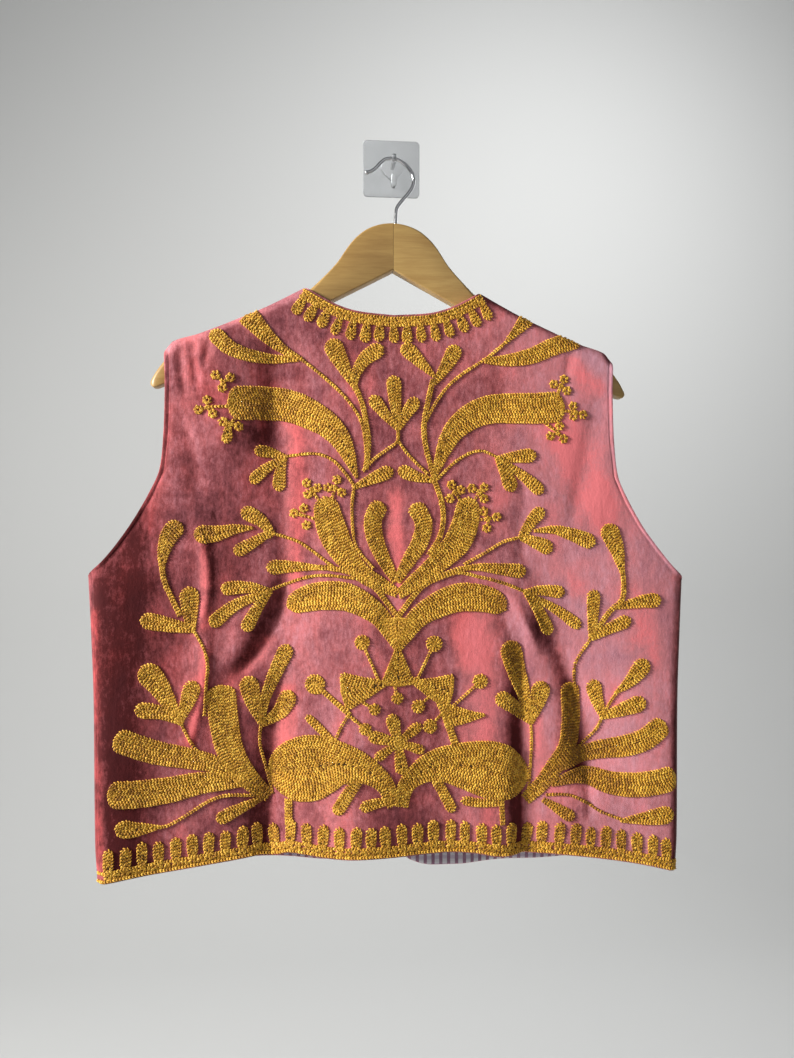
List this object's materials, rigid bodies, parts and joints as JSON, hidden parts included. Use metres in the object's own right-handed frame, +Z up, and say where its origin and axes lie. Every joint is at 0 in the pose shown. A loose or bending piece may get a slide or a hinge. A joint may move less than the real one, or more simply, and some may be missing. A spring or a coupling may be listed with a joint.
{
  "type": "embroidered waistcoat on a wooden hanger",
  "caption": "Sleeveless velvet waistcoat with embroidered leaf scrolls, hung open-fronted on a wooden hanger from a clear wall hook.",
  "frame": {"origin": "middle of the wall plate's back face, where the wall holds the hook", "axes": "+Z up, along the waistcoat's length; +Y into the wall; +X to the right of a person who looks at the wall and at the waistcoat's back"},
  "size_m": [0.561, 0.0464, 0.7022],
  "materials": {
    "velvet": "rose cotton velvet with a mottled nap",
    "embroidery": "mustard yarn in chain stitch",
    "lining": "white cotton with a purple check",
    "hanger_wood": "clear satin lacquer",
    "hook_wire": "polished",
    "clear_plastic": "clear, glossy"
  },
  "bodies": {
    "root": {"back_panel": "velvet", "front_left": "velvet", "front_right": "velvet", "lining_front_right": "lining", "hanger_arm_left": "hanger_wood", "hanger_arm_right": "hanger_wood", "hanger_hook": "hook_wire", "wall_hook": "clear_plastic"}
  },
  "joints": []
}
